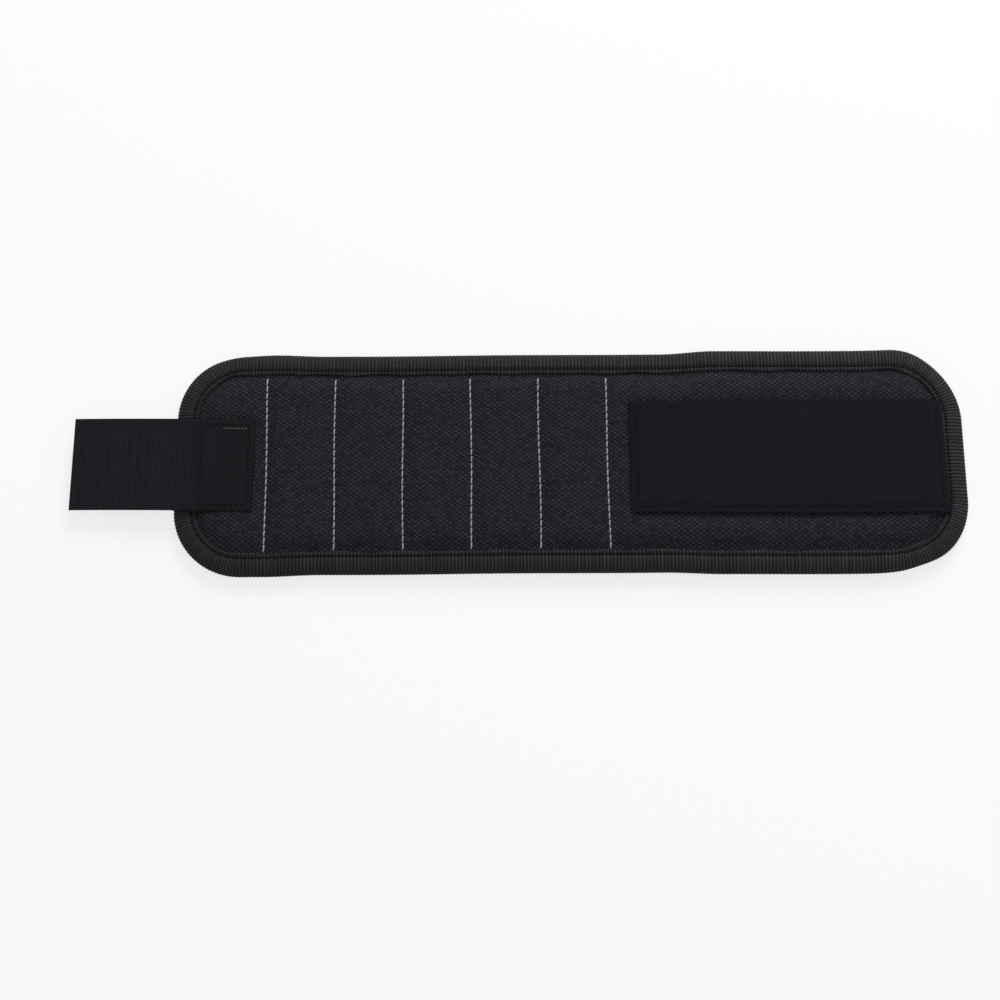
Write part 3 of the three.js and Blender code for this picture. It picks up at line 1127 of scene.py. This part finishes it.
tab = {
    "left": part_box("hook_tab_free_end")[0].x + 1.1 * mm,
    "right": tabSewn["high"].x + 1.4 * mm,
    "half": tabSewn["high"].y,
    "shift": -0.3 * mm,
    "slant": 0.014,  # sewn on a little askew
    "cover": 7.2 * mm,
    "edge": tabSewn["low"].z,
    "tip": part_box("hook_tab_free_end")[0].z,
    "droop": 1.4,
    "shelf": 9 * mm,
    "shelfRun": 3 * mm,
    "thick": 1.2 * mm,
    "tape": 0.7 * mm,
    "gap": 0.02 * mm,
    "softDrop": 0.2 * mm,  # its edges are rounded off
    "softRun": 1.2 * mm,
    "ribPitch": 1.2 * mm,
    "ribHeight": 0.07 * mm,
    "samples": 4,
    "across": 26,
    "selvedge": 4 * mm,
    "parting": band["left"] + 10 * mm,
    "bend": 6 * mm,
}


def tabFloor(x):
    onCover = ease((x - band["left"] - tab["shelf"]) / tab["shelfRun"])
    out = np.clip((band["left"] - x) / (band["left"] - tab["left"]), 0, 1)
    sag = (tab["edge"] - tab["tip"]) * out ** tab["droop"]
    return tab["edge"] + (tab["cover"] - tab["edge"]) * onCover - sag


def askew(co):
    co = np.array(co, dtype=float)
    x, y = co[:, 0].copy(), co[:, 1].copy()
    co[:, 0] = x + tab["slant"] * y
    co[:, 1] = y + tab["shift"] - tab["slant"] * (x - tab["left"])
    return co


def bendAtEdge(piece):
    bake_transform(piece)


def makeTab():
    length, width = tab["right"] - tab["left"], 2 * tab["half"]
    ribs = round(length / tab["ribPitch"])
    piece, s, t = gridPiece("tabTape", ribs * tab["samples"], tab["across"])
    x, y = tab["left"] + s * length, (2 * t - 1) * tab["half"]
    setUv(piece, np.stack([x, y], 1))
    depth = np.minimum(np.minimum(x - tab["left"], tab["right"] - x), tab["half"] - np.abs(y))
    soft = ease(depth / tab["softRun"])
    rib = tab["ribHeight"] * (np.cos(fullTurn * ribs * s) - 1) * (y < tab["half"] - tab["selvedge"])
    z = tabFloor(x) + tab["thick"] + rib - tab["softDrop"] * (1 - soft)
    setPoints(piece, np.stack([x, y, z], 1))
    top = len(piece.data.vertices)
    applyModifier(piece, "SOLIDIFY", thickness=tab["tape"], offset=-1)
    co = pointsOf(piece)
    x = co[:top, 0]
    co[top:, :2] = co[:top, :2]
    co[top:, 2] = tabFloor(x) + np.where(x < band["left"], tab["thick"] - tab["tape"], tab["gap"])
    setPoints(piece, settle(askew(co)))
    free = cutSpan(piece, "tab_free", None, tab["parting"])
    sewn = cutSpan(piece, "tab_sewn", tab["parting"], None)
    bpy.data.objects.remove(piece)
    for part in (free, sewn):
        dress(part, tabMaterial, "tape")
    bendAtEdge(free)
    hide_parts("hook_tab_free_end")
    hang(sewn, 1)
    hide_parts("hook_tab_sewn_end")


tabMaterial = tabTape()
makeTab()

hook = {
    "pitch": 1.6 * mm,
    "height": 0.52 * mm,
    "thick": 0.16 * mm,
    "sides": 4,
    "steps": [(0, 0, -0.6), (0.35, 0, -0.4), (0.5, 0, 0.25)],  # in heights, from the stem to the tip
    "margin": 1.6 * mm,
}


def modelHook():
    clearSelection()
    bpy.ops.mesh.primitive_circle_add(vertices=hook["sides"], radius=hook["thick"], fill_type="NGON")
    piece = nameIt(bpy.context.object, "oneHook")
    editAll(piece)
    for step in hook["steps"]:
        move = [v * hook["height"] for v in step]
        bpy.ops.mesh.extrude_region_move(TRANSFORM_OT_translate={"value": move})
    faceOutward(piece)
    co, faces = pointsOf(piece), [list(f.vertices) for f in piece.data.polygons]
    bpy.data.objects.remove(piece)
    return co, faces


def makeHooks():
    shape, faces = modelHook()
    x = np.arange(tab["left"] + hook["margin"], band["left"] - hook["margin"], hook["pitch"])
    y = np.arange(-tab["half"] + hook["margin"], tab["half"] - hook["margin"], hook["pitch"])
    spots = np.array([(a, b + (i % 2) * hook["pitch"] / 2, 0) for i, a in enumerate(x) for b in y])
    spots[:, 2] = tabFloor(spots[:, 0]) + tab["thick"] - tab["tape"]
    shape[:, 2] *= (tab["thick"] - tab["tape"]) / hook["height"]
    place = settle(askew((spots[:, None, :] + shape[None, :, :]).reshape(-1, 3)))
    piece = meshPiece("tab_hooks", place, repeatFaces(faces, len(shape), len(spots)))
    dress(piece, blackThread, "hook")
    bendAtEdge(piece)


makeHooks()

tabStitch = {
    "pitch": 2.2 * mm,
    "share": 0.75,
    "thick": 0.5 * mm,
    "in": 2.2 * mm,
    "sunk": 0.02 * mm,
    "from": band["left"] + 11 * mm,
    "highlightPitch": 1.3 * mm,
    "highlightThick": 0.45 * mm,
    "highlightRun": (10.3 * mm, 0.9 * mm),  # where the pale stitches of the painted highlight begin and end, before the thread's corner
    "highlightIn": 1.9 * mm,
}


def sewTabRow(name, corners, material, pitch, thick):
    paths = []
    for a, b in zip(corners, corners[1:]):
        flat = np.linspace(a, b, thread["samples"])
        z = tabFloor(flat[:, 0]) + tab["thick"] - tabStitch["sunk"]
        paths.append(settle(askew(np.concatenate([flat, z[:, None]], 1))))
    starts, ends = dashesRound(paths, pitch, tabStitch["share"])
    piece = sew(name, starts, ends, thick, (0, 0, 1))
    dress(piece, material, "thread")
    hang(piece, 1)


def sewTab():
    near, far = tabStitch["from"], tab["right"] - tabStitch["in"]
    edge = tab["half"] - tabStitch["in"]
    corners = [(near, -edge), (far, -edge), (far, edge), (near, edge), (near, -edge)]
    sewTabRow("tab_thread", corners, blackThread, tabStitch["pitch"], tabStitch["thick"])
    # painted highlight: a short row in pale grey thread stands for light caught on the stitching near the
    # tab's corner
    highlightStops = [(far - run, edge - tabStitch["highlightIn"]) for run in tabStitch["highlightRun"]]
    sewTabRow("tab_stitch_highlight", highlightStops, highlightThread, tabStitch["highlightPitch"], tabStitch["highlightThick"])


sewTab()
print("hook tab sewn on")

# magnets keep their solids

nickel = nickelPlate()
for name, node in frame["nodes"].items():
    if name.startswith("magnet_"):
        node.material_slots[0].material = nickel
print("magnets plated")

# floor, light and background

stage = {
    "radius": 3.0,
    "sides": 64,
    "color": (0.9, 0.9, 0.9, 1),
    "rough": 0.9,
    "gloss": 0.1,
    "near": 0.3,  # from here to out the floor fades to plain white
    "out": 1.4,
    "glow": 0.75,
    "second": 7.2 * mm,
    "sink": 64 * mm,
    "far": 800.0,
}
studio = {
    "ambient": 0.45,
    "lamps": [("keyLamp", 0.8, 22, (0.4, 1.3, 0.85)), ("fillLamp", 1.2, 2, (0.5, -0.4, 1.4))],
}


def seenDirectly(tree):
    path = addNode(tree, "ShaderNodeLightPath").outputs
    mirrored = calc(tree, "MAXIMUM", path["Is Glossy Ray"], path["Is Transmission Ray"])
    return calc(tree, "MAXIMUM", path["Is Camera Ray"], mirrored)


def floorMaterial():
    material, tree, shader = newMaterial("paleFloor")
    shader.inputs["Base Color"].default_value = stage["color"]
    setFinish(shader, stage["rough"], stage["gloss"])
    glow = addNode(tree, "ShaderNodeEmission")
    glow.inputs["Strength"].default_value = 1
    reach = addNode(tree, "ShaderNodeVectorMath", operation="LENGTH")
    tree.links.new(objectPlace(tree), reach.inputs[0])
    fade = mapRange(tree, reach.outputs["Value"], stage["near"], stage["out"], stage["glow"], 1)
    pale, oneSided = (addNode(tree, "ShaderNodeMixShader") for _ in range(2))
    shown = calc(tree, "MULTIPLY", seenDirectly(tree), fade)
    feed(tree, pale.inputs, (shown, shader.outputs[0], glow.outputs[0]))
    behind = addNode(tree, "ShaderNodeNewGeometry").outputs["Backfacing"]
    clear = addNode(tree, "ShaderNodeBsdfTransparent").outputs[0]
    feed(tree, oneSided.inputs, (behind, pale.outputs[0], clear))
    tree.links.new(oneSided.outputs[0], tree.nodes["Material Output"].inputs["Surface"])
    return material


def addFloor(name, material, height, down):
    clearSelection()
    bpy.ops.mesh.primitive_circle_add(vertices=stage["sides"], radius=stage["radius"], fill_type="NGON")
    floor = nameIt(bpy.context.object, name)
    co = pointsOf(floor)
    co[:, 2] = height
    setPoints(floor, co)
    editAll(floor)
    if (floor.data.polygons[0].normal.z < 0) != down:
        bpy.ops.mesh.flip_normals()
    bpy.ops.object.mode_set(mode="OBJECT")
    floor.visible_diffuse = floor.visible_glossy = floor.visible_shadow = False
    floor.data.materials.append(material)
    return floor


# The band lies on one floor, which rides on row_4. A second floor faces the other way, a little higher up.
def makeFloors():
    material = floorMaterial()
    first = addFloor("firstFloor", material, 0, False)
    second = addFloor("secondFloor", material, stage["second"], True)
    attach(first, "row_4")
    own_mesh(first)
    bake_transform(second)


def addLamp(name, size, power, place):
    data = bpy.data.lights.new(name, "AREA")
    data.size = size
    data.energy = power
    lamp = bpy.data.objects.new(name, data)
    bpy.context.scene.collection.objects.link(lamp)
    lamp.location = place
    lamp.rotation_euler = Vector(place).to_track_quat("Z", "Y").to_euler()


def lightStudio():
    world = bpy.data.worlds.new("studioWorld")
    bpy.context.scene.world = world
    world.use_nodes = True
    tree = world.node_tree
    background = tree.nodes["Background"]
    background.inputs["Color"].default_value = (1, 1, 1, 1)
    strength = soften(tree, seenDirectly(tree), 1 - studio["ambient"])
    tree.links.new(strength, background.inputs["Strength"])
    for lamp in studio["lamps"]:
        addLamp(*lamp)


makeFloors()
lightStudio()
bpy.context.scene.view_settings.view_transform = "Standard"
print("studio lit")
